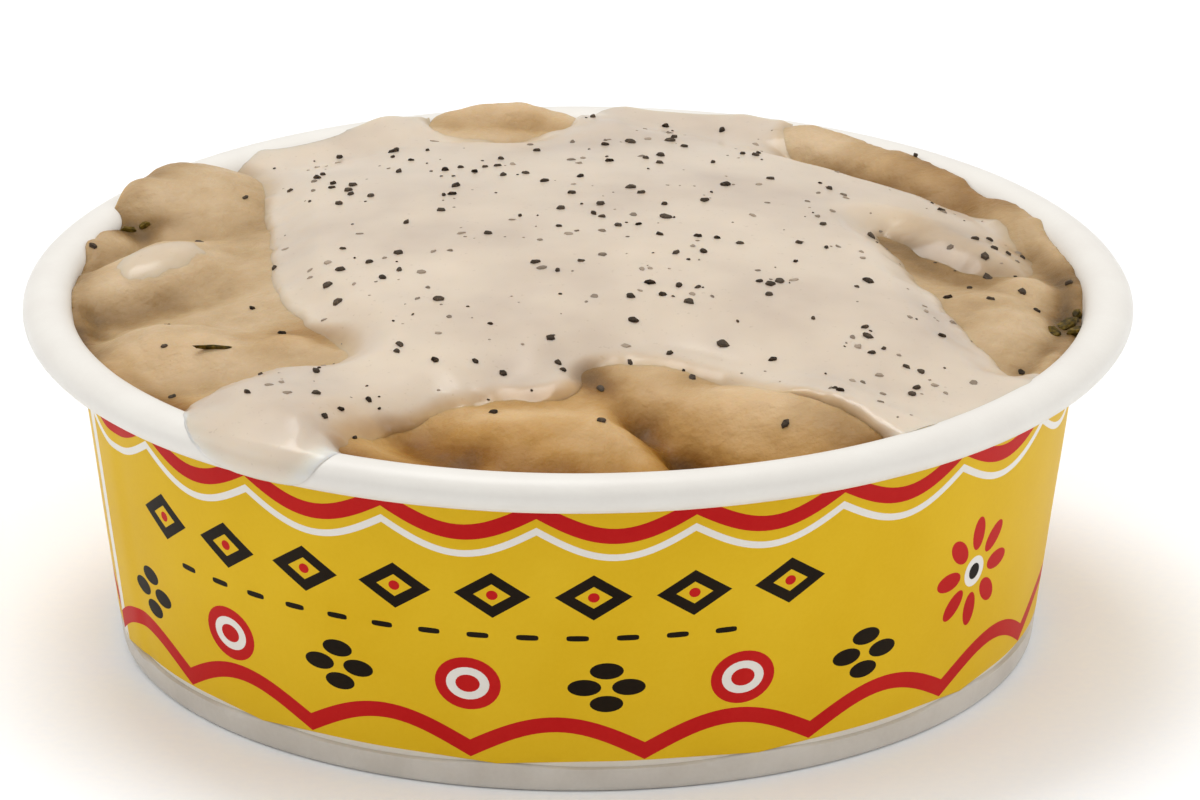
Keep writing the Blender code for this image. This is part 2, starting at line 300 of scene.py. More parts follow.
def placeStudio():
    half = studio["floorHalf"]
    mesh = bpy.data.meshes.new("floor")
    corners = [(-half, -half, 0), (half, -half, 0), (half, half, 0), (-half, half, 0)]
    mesh.from_pydata(corners, [], [(0, 1, 2, 3)])
    mesh.materials.append(paperSweepMaterial())
    floor = bpy.data.objects.new("floor", mesh)
    bpy.context.scene.collection.objects.link(floor)
    world = bpy.data.worlds.new("studio")
    world.use_nodes = True
    tree = world.node_tree
    direction = addNode(tree, "ShaderNodeTexCoord")
    height = addNode(tree, "ShaderNodeSeparateXYZ", {}, {0: (direction, "Generated")})
    sky = addNode(
        tree, "ShaderNodeValToRGB", {"stops": [(at, [light] * 3 + [1]) for at, light in studio["sky"]]},
        {"Fac": (height, "Z")},
    )
    tree.links.new(sky.outputs["Color"], tree.nodes["Background"].inputs["Color"])
    bpy.context.scene.world = world
    for name, (place, width, watts) in studio["lamps"].items():
        lamp = bpy.data.lights.new(name, "AREA")
        lamp.energy, lamp.size = watts, width
        holder = bpy.data.objects.new(name, lamp)
        bpy.context.scene.collection.objects.link(holder)
        holder.location = place
        toAim = Vector(studio["lampAim"]) - holder.location
        holder.rotation_euler = toAim.to_track_quat("-Z", "Y").to_euler()
    bpy.context.scene.view_settings.view_transform = "Standard"


placeCamera()
placeStudio()
print("camera, floor and lamps placed")

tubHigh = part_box("tub_wall")[1]
tub = {
    "rimRadius": tubHigh.x / mm + 0.08,  # the solid's flats lie just inside the round rim
    "height": tubHigh.z / mm,
    "rollHalfWidth": 2.6,
    "rollHalfHeight": 2.0,
    "rollTurn": 325,
    "curlIn": 0.10,  # how much tighter the curl is at its end
    "rollSteps": 44,
    "board": 0.45,
    "foldRadius": 0.45,
    "footRadius": 47.8,
    "neckHeight": 31.0,
    "neckRadius": 52.1,
    "floorUnderside": 3.4,
    "clearance": 0.3,
    "columns": 288,
    "baseColumns": 192,
    "seamAngle": -76.5,  # from the front towards the right
    "lapWidth": 6.0,
    "lapFade": 3.0,
    "lapRise": 0.28,
    "sheet": (1.2, 34.0),  # the heights between which the outside follows the print
    "sheetSpacing": 1.1,
    # paper is never quite round: how far the wall and the roll wander, over what width, and which noise
    "wander": ((0.16, 26, 3), (0.05, 9, 4)),
    "wanderFrom": (2, 8),  # the heights over which that sets in
    "undersideTop": 1.0,
}
rollRadius = tub["rimRadius"] - tub["rollHalfWidth"]
rollLevel = tub["height"] - tub["rollHalfHeight"]
wallSlope = (tub["neckRadius"] - tub["footRadius"]) / tub["neckHeight"]
mouthRadius = tub["rimRadius"] - 2 * tub["rollHalfWidth"] - tub["clearance"]
printRadius = 50.0  # the radius at which the print's widths are true


def wallMiddle(height):
    return tub["footRadius"] + wallSlope * height - tub["board"] / 2


# Rounds the corners of a line with short curves.
def roundCorners(line, radius):
    steps = 5
    line = [np.array(p, float) for p in line]
    rounded = [line[0]]
    for before, corner, after in zip(line, line[1:], line[2:]):
        start = corner + (before - corner) * min(radius / np.linalg.norm(before - corner), 0.5)
        end = corner + (after - corner) * min(radius / np.linalg.norm(after - corner), 0.5)
        for k in range(steps + 1):
            t = k / steps
            rounded.append(start * (1 - t) ** 2 + 2 * corner * t * (1 - t) + end * t**2)
    return rounded + [line[-1]]


# The two faces of a board whose middle follows the line: on its right side, and on its left.
def boardFaces(line, thickness):
    line = np.array(line)
    along = np.gradient(line, axis=0)
    along /= np.linalg.norm(along, axis=1)[:, None]
    right = np.stack([along[:, 1], -along[:, 0]], axis=1) * thickness / 2
    return line + right, line - right


# The middle of the wall's board, from the cuff inside the foot round the foot, up, and round the roll.
def wallLine():
    half, fold = tub["board"] / 2, 2 * (tub["board"] + tub["clearance"])
    cuffTop = tub["floorUnderside"] - tub["clearance"]
    cuff = [(wallMiddle(cuffTop) - fold, cuffTop), (wallMiddle(half) - fold, half)]
    foot = roundCorners(cuff + [(wallMiddle(half), half), (wallMiddle(4), 4)], tub["foldRadius"])
    neck = [(wallMiddle(z), z) for z in np.linspace(5, tub["neckHeight"] - 1.5, 14)]
    neck.append((tub["neckRadius"] - half + 0.1, tub["neckHeight"] + 0.6))
    roll = []
    for k in range(tub["rollSteps"] + 1):
        share = k / tub["rollSteps"]
        angle = math.radians(180 - tub["rollTurn"] * share)
        tuck = 1 - tub["curlIn"] * share**2
        roll.append(
            (rollRadius + (tub["rollHalfWidth"] - half) * tuck * math.cos(angle),
             rollLevel + (tub["rollHalfHeight"] - half) * tuck * math.sin(angle))
        )
    return foot + neck + roll


# How much thicker the side seam makes the board, at a distance along the wall from its outer edge.
def lapAt(along):
    return tub["lapRise"] * (1 - smoothStep((along - tub["lapWidth"]) / tub["lapFade"]))


# Points round the tub's axis, at angles from the front towards the right.
def roundPoint(radius, angle, height):
    return np.stack([radius * np.sin(angle), -radius * np.cos(angle), height + 0 * angle], axis=-1)


# The print, as loops on the flattened wall: along it from the seam, and up from the foot.
wrap = 2 * math.pi * printRadius
printing = {
    "bottom": 3.1,
    "top": 33.9,
    "seamMargin": 1.8,
    "festoons": (
        {"count": 20, "high": 30.15, "sag": 3.0, "stroke": 0.75, "ink": "white"},
        {"count": 20, "high": 32.6, "sag": 3.0, "stroke": 1.75, "ink": "red"},
        {"count": 17, "high": 4.7, "sag": -3.2, "stroke": 1.75, "ink": "red"},
    ),
    # rows, each on two panels: degrees from the seam where a panel starts and ends. Ovals have their
    # half-axes and steps round, and the dashes how square they are.
    "lozenges": {
        "pitch": 10.2, "height": 22.6, "panels": (20, 101),
        "half": (3.9, 2.6), "inner": (1.9, 1.25), "dot": (0.6, 0.55, 14),
    },
    "dashes": {"pitch": 5.1, "height": 17.9, "panels": (24, 97), "dash": (1.15, 0.32, 16, 4)},
    # clusters of dots in turn with rings, which are given from the outermost in
    "lowRow": {
        "pitch": 14.4, "height": 12.2, "panels": (14, 108),
        "cluster": ((-2.3, 0), (2.3, 0), (0, 1.9), (0, -1.9)), "dot": (1.75, 0.95, 24),
        "rings": (("red", 3.5, 3.0, 36), ("white", 2.3, 1.85, 28), ("red", 1.3, 1.0, 20)),
    },
    # a ring of petals alone on the plain field
    "medallions": {
        "at": (131, 311), "height": 17.0, "petals": 8, "ring": 4.3, "petal": (1.9, 1.05, 22),
        "eye": (("white", 1.7, 1.7, 26), ("black", 0.9, 0.9, 20)),
    },
    "panelTurn": 180,
    "sideSteps": {"field": 11, "lozenge": 7, "scallop": 22},
}


# A line of hanging scallops, or standing ones where the sag is below 0.
def festoon(spec):
    along = np.linspace(0, wrap, spec["count"] * printing["sideSteps"]["scallop"] + 1)
    phase = np.pi * along * spec["count"] / wrap
    middle = spec["high"] - spec["sag"] * np.abs(np.sin(phase))
    slope = spec["sag"] * np.pi * spec["count"] / wrap * np.cos(phase)
    half = spec["stroke"] / 2 * np.sqrt(1 + slope**2)
    low = np.stack([along, middle - half], axis=1)
    high = np.stack([along, middle + half], axis=1)
    return np.concatenate([low, high[::-1]])


# How far along the wall each shape of a row stands.
def panelPlaces(row):
    start, end = (math.radians(degrees) * printRadius for degrees in row["panels"])
    count = round((end - start) / row["pitch"])
    other = math.radians(printing["panelTurn"]) * printRadius
    return [start + row["pitch"] * k + shift for shift in (0, other) for k in range(count + 1)]


# Every printed shape as (ink, loop), lowest layer first.
def printShapes():
    low, high, margin = printing["bottom"], printing["top"], printing["seamMargin"]
    steps = printing["sideSteps"]
    field = [(margin, low), (wrap - margin, low), (wrap - margin, high), (margin, high)]
    shapes = [("yellow", sidedLoop(field, steps["field"]))]
    shapes += [(line["ink"], festoon(line)) for line in printing["festoons"]]
    row = printing["lozenges"]
    z = row["height"]
    for x in panelPlaces(row):
        for ink, (halfX, halfZ) in (("black", row["half"]), ("yellow", row["inner"])):
            corners = [(x + halfX, z), (x, z + halfZ), (x - halfX, z), (x, z - halfZ)]
            shapes.append((ink, sidedLoop(corners, steps["lozenge"])))
        shapes.append(("red", oval(x, z, *row["dot"])))
    row = printing["dashes"]
    shapes += [("black", oval(x, row["height"], *row["dash"])) for x in panelPlaces(row)]
    row = printing["lowRow"]
    for k, x in enumerate(panelPlaces(row)):
        if k % 2:
            shapes += [(ink, oval(x, row["height"], *ring)) for ink, *ring in row["rings"]]
        else:
            dots = row["cluster"]
            shapes += [("black", oval(x + dx, row["height"] + dz, *row["dot"])) for dx, dz in dots]
    flower = printing["medallions"]
    for degrees in flower["at"]:
        centre = (math.radians(degrees) * printRadius, flower["height"])
        petal = oval(flower["ring"], 0, *flower["petal"])
        for k in range(flower["petals"]):
            shapes.append(("red", turnedLoop(petal, 2 * math.pi * k / flower["petals"]) + centre))
        shapes += [(ink, oval(*centre, *disc)) for ink, *disc in flower["eye"]]
    return shapes


# Bleached paperboard with a polyethylene film, calendered: a soft even sheen, faintly mottled fibres.
boardFinish = {
    "sheen": {"Roughness": 0.42, "IOR": 1.5},
    "grains": {"fine": (0.6, 4, 0.6), "cloud": (7, 2, 0.5)},  # clumps of fibre, clouds of the sheet
    "fineShare": 0.35,
    "range": (0.45, 0.85),
    "relief": (0.25, 0.04),
}
# Offset ink under a clear varnish on the board: flat colour, a little thin over the fibres.
inkFinish = {
    "sheen": {"Roughness": 0.45, "IOR": 1.45, "Specular IOR Level": 0.08},
    "grains": {"fine": (0.5, 5, 0.65), "cloud": (12, 2, 0.5)},  # mottle on the fibres, uneven inking
    "fineShare": 0.5,
    "range": (0.5, 1.0),
    "relief": (0.2, 0.03),
}


# Board or ink, between a darker and a lighter colour.
def paperMaterial(name, finish, *colours):
    material, tree, shader, grains = newMaterial(name, finish["sheen"], finish["grains"])
    blend = addNode(
        tree, "ShaderNodeMath", {"operation": "MULTIPLY_ADD", 1: finish["fineShare"]},
        {0: (grains["fine"], "Fac"), 2: (grains["cloud"], "Fac")},
    )
    shade = addNode(
        tree, "ShaderNodeValToRGB", {"stops": list(zip(finish["range"], colours))}, {"Fac": (blend, "Value")}
    )
    finishSurface(tree, shader, (shade, "Color"), (grains["fine"], "Fac"), finish["relief"])
    return material


inks = {
    "white": paperMaterial("PE-coated white paperboard", boardFinish, "#E0DBD3", "#E4E0D8"),
    "yellow": paperMaterial("yellow offset ink, varnished", inkFinish, "#D7AD1A", "#DDB524"),
    "red": paperMaterial("red offset ink, varnished", inkFinish, "#B61214", "#BF1F1C"),
    "black": paperMaterial("black offset ink, varnished", inkFinish, "#140C05", "#22190E"),
    # the foot band's board is darker as painted shade, low down where the tub stands on the floor
    "foot": paperMaterial("PE-coated paperboard, painted shade at the foot", boardFinish, "#BCB5AB", "#C9C3BA"),
}


# The side wall is one closed board: rings turned from its two faces, and on the outside a sheet whose
# triangles follow the print.
def buildWall():
    outer, inner = boardFaces(wallLine(), tub["board"])
    sheetLow, sheetHigh = tub["sheet"]
    inkSlots = list(inks)
    white, foot = inkSlots.index("white"), inkSlots.index("foot")
    pastCuff = outer[:, 0] > tub["footRadius"] - tub["board"]
    climb = [k for k in range(len(outer)) if sheetLow < outer[k][1] < sheetHigh and pastCuff[k]]
    first, last = climb[0], next(k for k in climb if k + 1 not in climb)
    heights, radii = outer[first - 1 : last + 2, 1], outer[first - 1 : last + 2, 0]

    def wallRadius(height):
        return np.interp(height, heights, radii)

    below = list(outer[:first]) + [(wallRadius(sheetLow), sheetLow)]
    above = [(wallRadius(sheetHigh), sheetHigh)] + list(outer[last + 1 :])
    columns = tub["columns"]
    along = np.linspace(0, wrap, columns + 1)
    angles = math.radians(tub["seamAngle"]) + along / printRadius
    points, faces, slots = [], [], []

    def ring(place, lap):
        points.extend(roundPoint(place[0] + lap, angles, place[1]))
        return len(points) - columns - 1

    def raisedRing(place):
        # the lap thickens the board outwards: up and out round the roll, and not under the foot
        return ring(place, lapAt(along) if place[1] > tub["undersideTop"] else 0 * along)

    upperRings = [raisedRing(place) for place in above]
    innerRings = [ring(place, 0 * along) for place in inner[::-1]]
    lowerRings = [raisedRing(place) for place in below]
    chain = upperRings + innerRings + lowerRings
    for start, end in zip(chain, chain[1:]):
        faces += ringFaces(start, end, columns + 1)
        slots += [foot if end in lowerRings else white] * (columns + 1)

    upTheSeam = np.linspace(sheetLow, sheetHigh, 34)
    edge = [(x, sheetLow) for x in along[:-1]] + [(wrap, z) for z in upTheSeam[:-1]]
    edge += [(x, sheetHigh) for x in along[:0:-1]] + [(0, z) for z in upTheSeam[:0:-1]]
    loops = {"sheet": np.array(edge)}
    for k, (ink, loop) in enumerate(printShapes()):
        loops[f"{k} {ink}"] = loop
    spacing = tub["sheetSpacing"]
    grid = hexGrid(0.5, wrap - 0.4, sheetLow + 0.5, sheetHigh - 0.3, spacing)
    flat, triangles = triangulatePlan(loops, spacing, grid)
    base = len(points)
    turn = math.radians(tub["seamAngle"]) + flat[:, 0] / printRadius
    points.extend(roundPoint(wallRadius(flat[:, 1]) + lapAt(flat[:, 0]), turn, flat[:, 1]))
    for face, inside in triangles:
        if "sheet" not in inside:
            continue
        printed = [name for name in inside if name != "sheet"]
        # the bare band below the print takes the foot's painted shade
        bare = "0 foot" if flat[face[0], 1] < printing["bottom"] + 0.1 else "0 white"
        top = max(printed, key=lambda name: int(name.split()[0]), default=bare)
        faces.append([base + i for i in face])
        slots.append(inkSlots.index(top.split()[1]))
    # the raw edge of the lap, between the sheet's two ends
    ends = []
    for x in (0, wrap):
        side = [i for i in range(len(flat)) if abs(flat[i, 0] - x) < 1e-3]
        ends.append(sorted(side, key=lambda i: flat[i, 1]))
    for a, b, c, d in zip(ends[0], ends[0][1:], ends[1][1:], ends[1]):
        faces.append([base + i for i in (a, b, c, d)])
        slots.append(white)
    points = np.array(points)
    wander = noiseLayers(points, tub["wander"]) / np.hypot(points[:, 0], points[:, 1])
    start, full = tub["wanderFrom"]
    points[:, :2] *= (1 + np.clip((points[:, 2] - start) / (full - start), 0, 1) * wander)[:, None]
    return addPiece(
        "tubWall", points, faces, list(inks.values()), 35, ["tub_wall"], faceSlots=slots
    )


def buildBase():
    # a disc of board, its edge turned down into the fold of the wall
    inset, middle = tub["board"] + tub["clearance"], tub["floorUnderside"] + tub["board"] / 2
    line = [(0, middle), (12, middle), (30, middle), (40, middle), (43.5, middle), (44.2, middle + 0.15)]
    line += [(wallMiddle(middle) - inset, middle), (wallMiddle(inset) - inset, inset)]
    upper, lower = boardFaces(roundCorners(line, 0.5), tub["board"])
    columns = tub["baseColumns"]
    angles = np.linspace(0, 2 * np.pi, columns + 1)[:-1]
    points, faces = [], []
    for radius, height in list(upper) + list(lower[::-1]):
        if points:
            faces += ringFaces(len(points) - columns, len(points), columns)
        points.extend(roundPoint(max(radius, 0.0), angles, height))
    return addPiece("tubBase", points, faces, [inks["white"]], 35, ["tub_base"])


buildWall()
buildBase()
print("paper tub made")

# The heap has the solids' form, with more folds and hollows than they have.
heap = {
    "edgeLevel": -1.3,
    "domeRise": 6.0,
    "creaseSoftness": 0.7,
    "foldFall": 4.5,  # from a fold's crown to its own edge
    # spooned folds: centre, half-axes, turn, and how high the crown is above the rim's roll
    "folds": {
        "leftBack": (-42, 28.5, 13.5, 11.5, -40, 4.2),
        "leftShoulder": (-45.5, 25.5, 6, 5, 0, 4.5),
        "leftMiddle": (-43, 7, 13, 8, 40, 3.4),
        "leftFront": (-40, -17, 13, 9, -20, 3.2),
        "leftWedge": (-29, -19, 10, 4, -30, 2.8),
        "backMiddle": (-8, 50.5, 12, 3.5, 0, 4.0),
        "backShelf": (-8, 47, 22, 5, 0, 2.3),
        "backRightEnd": (24, 45.5, 13, 4.5, -30, 3.2),
        "backMiddleRight": (0.5, 49.5, 7, 4, 0, 2.7),
        "backMiddleLeft": (-16.5, 48, 6, 4, 0, 1.9),
        "backSwell": (5, 45, 25, 8, 0, 0.9),
        "backRight": (33.5, 38.5, 20, 5, -41, 2.3),
        "right": (44, -11, 11, 7, 60, 2.3),
        "rightLow": (46, 1, 10, 6, 80, 2.0),
        "frontLeft": (-3.4, -39, 16.6, 8, 1, 2.3),
        "frontRight": (20, -36, 17, 7, -24, 3.4),
        "frontUnder": (15, -47.8, 7, 3.4, -36, 1.7),
        "dripBank": (-30, -39, 19, 12, -38, 2.6),
        "backRightLow": (46.5, 24, 13, 5, -62, 1.7),
        "rightSlope": (42, -4, 15, 12, 100, 2.1),
        "leftBackLow": (-49.5, 16, 9, 4.5, 75, 1.9),
    },
    # spread against the tub: how high, how much lower at the front, and over what width
    "brim": (0.7, 2.2, 3.5),
    "brimFront": (20, 15),  # how far forward that dip starts, and over what length it sets in
    "press": 0.12,  # against the board, so that no gap shows
    "spreadWide": 4,  # the ring of food that spreads against the tub
    "edgeRound": (0.5, 1.2),  # how far the outermost edge drops, and over what width
    "smearStretch": (0.35, 1, 1),  # drawn out from side to side, as the spoon went
    "toneStretch": (0.45, 1, 1),
    # the grain of the form: how much, how large, and which noise
    "smears": ((0.34, 3.4, 1),),
    "lumps": ((0.25, 5.5, 2), (0.20, 2.1, 5), (0.10, 1.1, 6)),
    # hollows pressed between them: from, to, radius and depth
    "hollows": {
        "leftCrease": (-51, -5, -38, -1, 4, 1.0),
        "leftRim": (-52, -10, -51, -15, 4, 0.9),
        "leftBackRim": (-50, 21, -48, 24, 4, 0.7),
        "rightRim": (52, -4, 50, -9, 4, 0.6),
        "backTrough": (6, 50, 18, 47, 5, 1.1),
        "backLeftTrough": (-31, 41.5, -24, 45.5, 5, 1.2),
        "rightCrease": (36, 6, 50, -1, 4, 1.0),
        "frontCrease": (7, -36.5, 15.5, -50, 3.0, 2.8),
        "frontFork": (11.5, -41.5, 22, -48.5, 2.2, 1.8),
        "frontPocket": (-16, -41, -12, -44, 4, 1.6),
        "frontRim": (-8, -51, 20, -48, 4, 1.2),
    },
    "baseTone": 0.26,
    "baseButter": 0.06,
    "hollowTones": ((0.24, 3.0), (0.20, 1.5)),  # painted shade: how much darker where it is higher all round, how far off
    "edgeTone": (0.30, 3.5),  # painted shade: how much darker against the tub, and over what width
    "toneFade": 1.3,
    "toneSmears": ((0.10, 3.6, 21),),  # how much, how large, and which noise
    "toneSpots": ((0.05, 1.6, 22),),
    # darker zones are mostly painted shade in pits, creases, under the sauce's lips and against the tub,
    # paler ones painted light on crowns; and how buttery: centre, half-axes, turn, deeper, butter
    "tones": {
        "front": (3, -44, 40, 15, 0, 0.10, 0.95),
        "frontEdge": (-3, -51, 26, 5, 0, 0.52, 0.3),
        "frontRight": (20, -35, 10, 5, -24, -0.02, -0.25),
        "frontPocket": (-13.2, -43.2, 5, 3.4, 0, 0.34, 0.35),
        "frontRightUnder": (16.5, -45, 8, 2.0, -33, 0.36, 0.1),
        "frontValley": (8, -41.5, 7, 2.2, -60, 0.34, 0.1),
        "frontLeftEnd": (3, -44, 5, 4, 0, -0.16, -0.25),
        "peakSide": (1.5, -29.5, 5, 2.6, -55, 0.50, 0.0),
        "underLip": (26, -40, 6, 3, -25, 0.34, -0.3),
        "frontCrownLeft": (-4, -38, 8, 2.2, 0, -0.26, -0.1),
        "frontCrownRight": (17, -36, 8, 3, -22, -0.24, 0.0),
        "leftRecess": (-46.8, 19.2, 4, 2, 10, 0.60, 0.0),
        "leftByGravy": (-34, 16, 3, 13, 0, 0.14, 0.0),
        "leftBand": (-45, -3, 10, 3.4, 12, 0.18, 0.0),
        "leftPit": (-52, -10.5, 2, 5, 0, 0.6, 0.2),
        "leftFrontCrown": (-44, -21, 8, 4, 0, -0.12, 0.30),
        "leftFrontEdge": (-43, -32, 8, 4.5, -35, 0.34, 0.7),
        "leftWedge": (-28, -16.5, 6, 4, 0, 0.16, 0.45),
        "rightUnderLobe": (41, 6.5, 9, 2.6, 0, 0.32, 0.0),
        "rightEdge": (51.5, 3, 2, 7, 0, 0.25, 0.0),
        "lobe": (40, 13, 8, 5, 0, 0.35, 0.0),
        "rightPit": (51, -6.5, 2.2, 4, 0, 0.6, 0.0),
        "lobeRoot": (33, 12, 5, 2.6, -30, 0.45, 0.0),
        "backRightEnd": (26, 37, 6, 3, -20, 0.40, 0.1),
        "backRightCrown": (40, 33, 14, 5, -40, 0.30, 0.35),
        "right": (44, -3, 9, 12, 0, 0.13, 0.05),
        "backMiddle": (-7, 50, 9, 4, 0, 0.02, 0.30),
    },
    "spacing": 0.5,
    "edgePoints": 640,
    "wallTone": 0.6,  # painted shade, out of sight, down against the tub
}
sauce = {
    "depth": 2.3,
    "lipHigh": 0.42,
    "lipWide": 1.0,
    "fillWide": 6.0,
    "tongueDepth": 1.0,
    "tongueRun": 8.0,
    "tongueEnd": -35,
    "tongueLip": (0.22, 1.2),
    "tongueLead": 2.4,  # over which it leads from the level inside to the rim
    "tongueSector": (19, 59, 8),  # degrees from the front towards the left, and over how many it fades
    "tongueCover": (0.10, 0.66, 3.2),  # how much of its colour shows over the rim: at its edge, more inside
    "filmCover": (0.10, 0.90, 1.0, 4.5),  # and over the mash: over what width, and how much wider in a film
    "slip": 0.14,  # its thin edge slips under the potato's own grain
    "sunk": 0.45,  # its underside lies in the potato
    "levels": (4.5, 2.6),  # where it levels out: how far in from its edge, over how much of the mash
    "spacing": 0.6,
    "edgePoints": 660,
    "swell": ((0.30, 12, 11), (0.05, 4.6, 12)),  # how much, how large, and which noise
    # the edge on the mash, anticlockwise from the front left
    "edge": [
        (-24.5, -54), (-23, -47.5), (-20.5, -41.5), (-15, -36.5), (-7, -35.2), (-0.8, -34), (1.2, -28.5),
        (6.5, -27.8), (13, -30.5), (19, -34), (25.5, -37), (31, -42), (34, -50), (48, -38), (55, -27),
        (48.5, -23), (44, -19.5), (40, -12), (37, -1), (34.5, 7.5), (32, 14.5), (36, 9.5), (41, 6.5),
        (47, 6.8), (48.4, 13), (45.6, 21), (41, 28), (34.5, 33.4), (28, 38.5), (23, 44), (20.5, 54),
        (8, 60), (0.5, 56), (-0.5, 49.5), (-4, 46.8), (-9.5, 46), (-15, 48), (-18, 57), (-41, 44),
        (-36.5, 37), (-33.8, 28), (-33, 18), (-32.3, 6), (-31.5, -5), (-28.5, -14), (-24.2, -22.5),
        (-31, -24.8), (-35.2, -27.6), (-38, -31.5), (-42, -38), (-34, -52),
    ],
    # over the rim: angle from the front towards the left, and how far it ran past the mouth
    "tongue": [
        (51, -3), (49, 0.5), (45, 3), (41, 6.3), (37.5, 8.2), (33.5, 8.8), (30.3, 8.4), (28, 6.4),
        (26.2, 2.6), (25, -3),
    ],
    # where the edge stands as a rounded lip, and where it thins out to a film: centre and radius
    "lips": {
        "frontLeft": (-18, -38.5, 5), "frontRight": (27, -37, 9), "wedge": (-33, -26, 6),
        "peak": (-1, -33, 4),
    },
    "films": {
        "lobe": (42, 8.5, 9), "front": (-7, -36, 6), "peakTop": (6, -28, 6), "slope": (15, -32, 6),
        "backLeft": (-36, 34, 8), "back": (-9, 46, 5), "frontEdge": (-22.5, -46, 6), "lobeTip": (50, 14, 6),
        "backRight": (24, 38, 8), "wedgeTip": (-25, -20, 4),
    },
    "shallows": {"peak": (7, -26, 7), "slope": (16, -30, 7), "crown": (-6, -32, 6), "lobeTip": (46, 20, 7)},
    # lumps where it piled up before the rim: centre and radius, and how much, how large, which noise
    "lumpsAt": (-26, -46, 4),
    "lumps": ((0.3, 1.6, 13),),
    # where more of the potato's colour shows through although the edge is far: painted shade in the trough by
    # the lobe, and a thin film at the front left: centre, radius and how much shows
    "filmAndShades": {"lobeRoot": (35, 15.5, 5, 0.7), "lobe": (42, 12, 6, 0.4), "frontLeft": (-21, -42, 5, 0.45)},
}
puddle = {
    "centre": (-43.9, 6.4),
    "half": (7.8, 5.4),
    "turn": 52,
    "depth": 0.55,
    "fillWide": 4.2,
    "cover": 0.58,  # how much of it shows over the potato
    "spacing": 0.3,
    "reach": 9,
}


# How far out places lie in a turned oval, squared: 1 at its edge.
def ovalReach(x, y, centreX, centreY, longHalf, shortHalf, turn):
    c, s = math.cos(math.radians(turn)), math.sin(math.radians(turn))
    u = ((x - centreX) * c + (y - centreY) * s) / longHalf
    v = ((y - centreY) * c - (x - centreX) * s) / shortHalf
    return u * u + v * v


# How much of a round spot each place has, fading outwards.
def spot(x, y, centreX, centreY, radius):
    return np.exp(-((x - centreX) ** 2 + (y - centreY) ** 2) / radius**2)


# The height of the heap, above the middle of the rim's roll.
def mashForm(x, y):
    share = np.minimum(np.hypot(x, y) / mouthRadius, 1)
    fall = heap["foldFall"]
    heights = [heap["edgeLevel"] + heap["domeRise"] * (1 - share**2)]
    heights += [crown - fall * ovalReach(x, y, *fold) for *fold, crown in heap["folds"].values()]
    high, frontDip, wide = heap["brim"]
    frontStart, frontLong = heap["brimFront"]
    front = smoothStep((-y - frontStart) / frontLong)
    heights.append(high - frontDip * front - fall * ((1 - share) * mouthRadius / wide) ** 2)
    heights = np.stack(heights)
    highest = heights.max(0)
    soft = heap["creaseSoftness"]
    level = highest + soft * np.log(np.exp((heights - highest) / soft).sum(0))
    place = np.stack([x, y], axis=1)
    for *line, radius, depth in heap["hollows"].values():
        away = distanceTo(place, np.array([line[:2]], float), np.array([line[2:]], float))
        level = level - depth * np.exp(-((away / radius) ** 2))
    return level


# Its mean height on a ring round each place.
def ringForm(x, y, reach):
    turns = [2 * math.pi * k / 8 for k in range(8)]
    return sum(mashForm(x + reach * math.cos(turn), y + reach * math.sin(turn)) for turn in turns) / 8


# The mash as spooned: the form, with smears along the folds, lumps, and a fine grain.
def mashRelief(x, y):
    place = np.stack([x, y, 0 * x], axis=1)
    smears = noiseLayers(place * heap["smearStretch"], heap["smears"])
    return mashForm(x, y) + (smears + noiseLayers(place, heap["lumps"]))


# The radius at which food that stands this high touches the tub.
def contactRadius(level):
    inside = mouthRadius + tub["clearance"]
    neckInside = tub["neckRadius"] - tub["board"]
    share = np.clip((level + rollLevel - tub["neckHeight"]) / (rollLevel - tub["neckHeight"]), 0, 1)
    onWall = neckInside + (inside - neckInside) * share
    lean = np.clip(level / tub["rollHalfHeight"], 0, 0.93)
    return onWall + tub["rollHalfWidth"] * (1 - np.sqrt(1 - lean**2))


# Spreads the outermost food sideways until it touches the tub.
def settleAgainstTub(x, y, level, share=1):
    away = np.maximum(np.hypot(x, y), 1e-6)
    near = share * np.clip((away - mouthRadius) / heap["spreadWide"] + 1, 0, 1) ** 2
    target = away * (contactRadius(level) + heap["press"]) / mouthRadius
    scale = (away + (target - away) * near) / away
    return np.stack([x * scale, y * scale, level + rollLevel], axis=1)


# How dark and how buttery the potato is at each place. The darkness is mostly painted shade, in hollows,
# against the tub and in the listed zones, with a little random mottle.
def potatoTones(x, y):
    form = mashForm(x, y)
    deep = heap["baseTone"]
    for darker, reach in heap["hollowTones"]:
        deep = deep + darker * (ringForm(x, y, reach) - form)
    edge, wide = heap["edgeTone"]
    deep = deep + edge * smoothStep((np.hypot(x, y) - mouthRadius + wide) / wide)
    butter = heap["baseButter"]
    for *zone, deeper, butterAdded in heap["tones"].values():
        weight = np.exp(-(ovalReach(x, y, *zone) ** heap["toneFade"]))
        deep = deep + deeper * weight
        butter = butter + butterAdded * weight
    place = np.stack([x, y, 0 * x], axis=1)
    smears = noiseLayers(place * heap["toneStretch"], heap["toneSmears"])
    deep = deep + smears + noiseLayers(place, heap["toneSpots"])
    return np.clip(deep, 0, 1), np.clip(butter, 0, 1)


potatoColours = {
    "plain": ((0.0, "#CDB492"), (0.35, "#B49871"), (0.7, "#8A6C42"), (1.0, "#5A431F")),
    "buttery": ((0.0, "#C9A26C"), (0.35, "#B08340"), (0.7, "#865608"), (1.0, "#5C3907")),
}
moistClouds = (7, 4, 0.6)  # more or less moist
